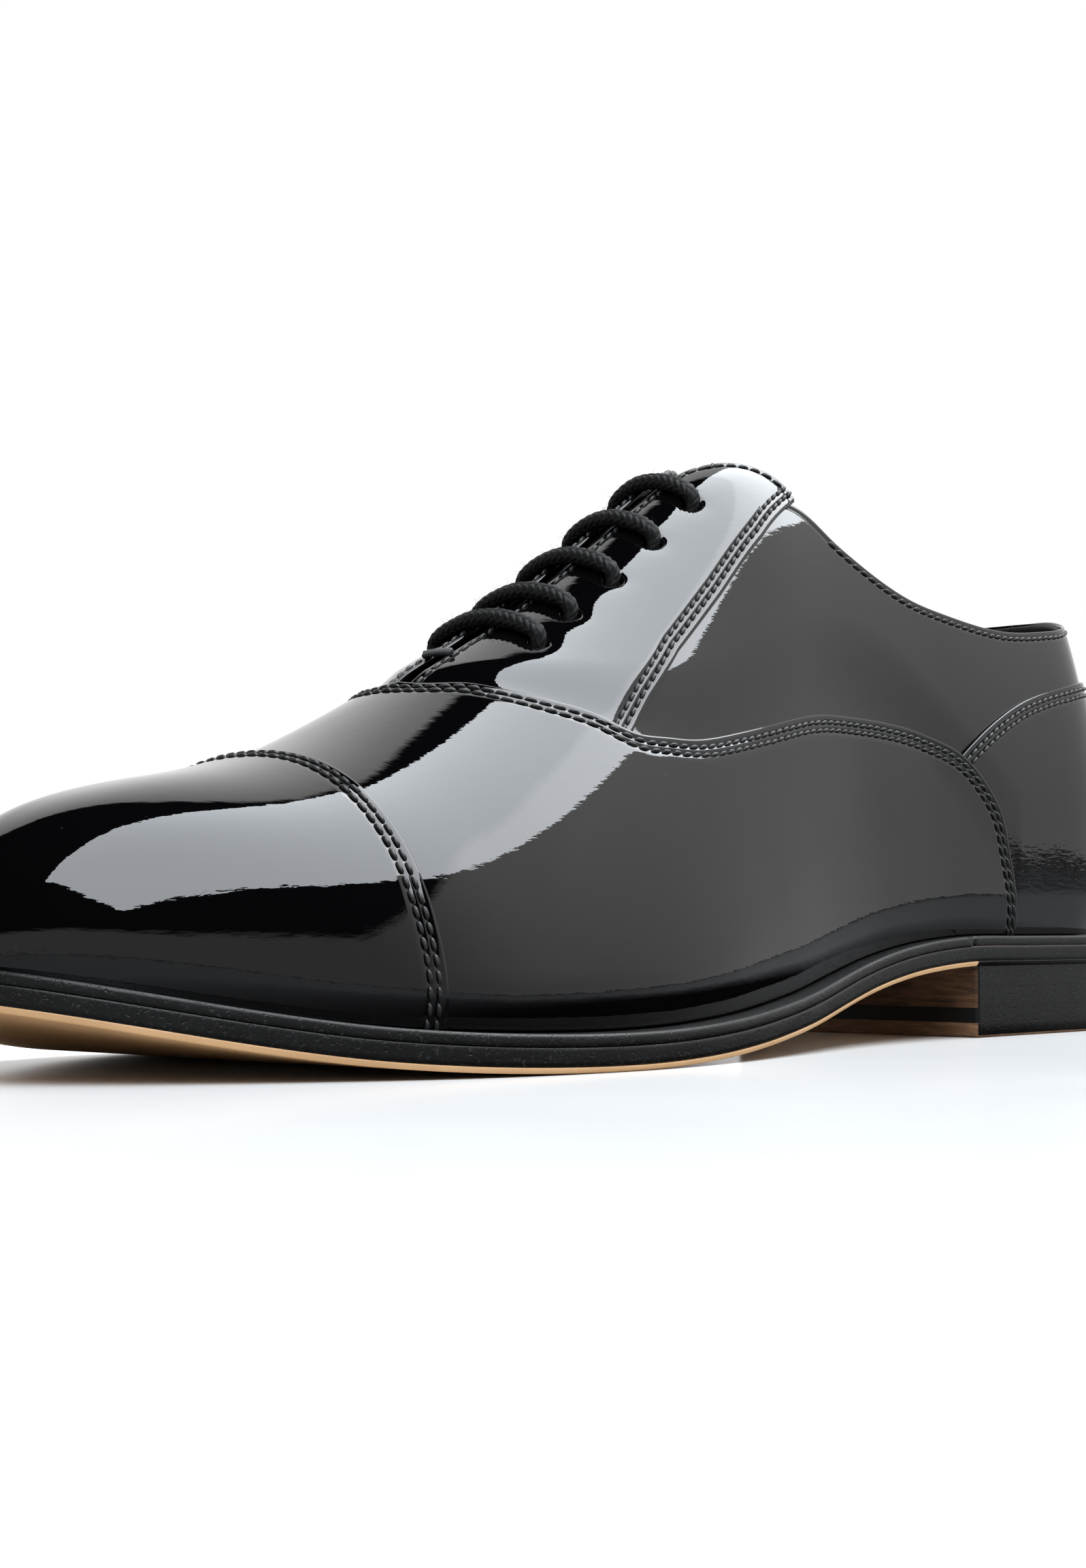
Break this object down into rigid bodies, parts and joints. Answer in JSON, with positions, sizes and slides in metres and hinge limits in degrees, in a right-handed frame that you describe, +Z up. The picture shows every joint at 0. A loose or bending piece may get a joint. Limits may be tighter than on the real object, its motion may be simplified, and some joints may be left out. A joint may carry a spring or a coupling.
{
  "type": "oxford shoe",
  "caption": "Cap-toe oxford shoe for the left foot in black patent leather, laced shut, with a leather sole and a stacked heel.",
  "frame": {"origin": "on the ground, under the middle of the shoe's length and width", "axes": "+Z up, +Y towards the heel so the toe points along -Y, +X towards the outer side of a left foot"},
  "size_m": [0.1032, 0.3, 0.1121],
  "materials": {
    "patent_leather": "black patent leather with a glossy clear coat",
    "lining_leather": "black smooth lining leather, satin",
    "sock_leather": "black sock leather, satin",
    "sole_leather": "tan oak-bark sole leather with a black inked edge",
    "welt_leather": "black inked and waxed welt leather",
    "heel_leather": "brown stacked heel leather",
    "heel_rubber": "matte black rubber",
    "board": "raw leather board",
    "cork": "granulated cork",
    "shank_steel": "sprung steel",
    "nail_brass": "brass wire nails",
    "lace_cotton": "black waxed cotton braid",
    "lace_tip": "black acetate sleeve",
    "thread": "black waxed sewing thread"
  },
  "bodies": {
    "shoe": {"toe_cap": "patent_leather", "vamp": "patent_leather", "facing_outer": "patent_leather", "facing_inner": "patent_leather", "quarter_outer": "patent_leather", "quarter_inner": "patent_leather", "heel_panel": "patent_leather", "vamp_lining": "lining_leather", "quarter_lining_outer": "lining_leather", "quarter_lining_inner": "lining_leather", "heel_grip": "lining_leather", "toe_puff": "board", "heel_stiffener": "board", "insole": "board", "sock_liner": "sock_leather", "shank": "shank_steel", "cork_filler": "cork", "welt": "welt_leather", "heel_rand": "welt_leather", "outsole": "sole_leather", "heel_lift_upper": "heel_leather", "heel_lift_lower": "heel_leather", "heel_rubber": "heel_rubber", "top_piece": "heel_leather", "heel_nails": "nail_brass", "lace": "lace_cotton", "lace_tip_outer": "lace_tip", "lace_tip_inner": "lace_tip", "cap_stitching": "thread", "vamp_stitching": "thread", "facing_stitching": "thread", "topline_stitching": "thread", "heel_panel_stitching": "thread", "throat_tack": "thread"},
    "tongue": {"tongue": "patent_leather"}
  },
  "joints": [
    {"name": "tongue_fold", "type": "hinge", "parent": "shoe", "child": "tongue", "pos_m": [0, -0.061, 0.056], "axis": [1, 0, 0], "range_deg": [-10, 0], "stiffness_Nm_per_rad": 0.02}
  ]
}
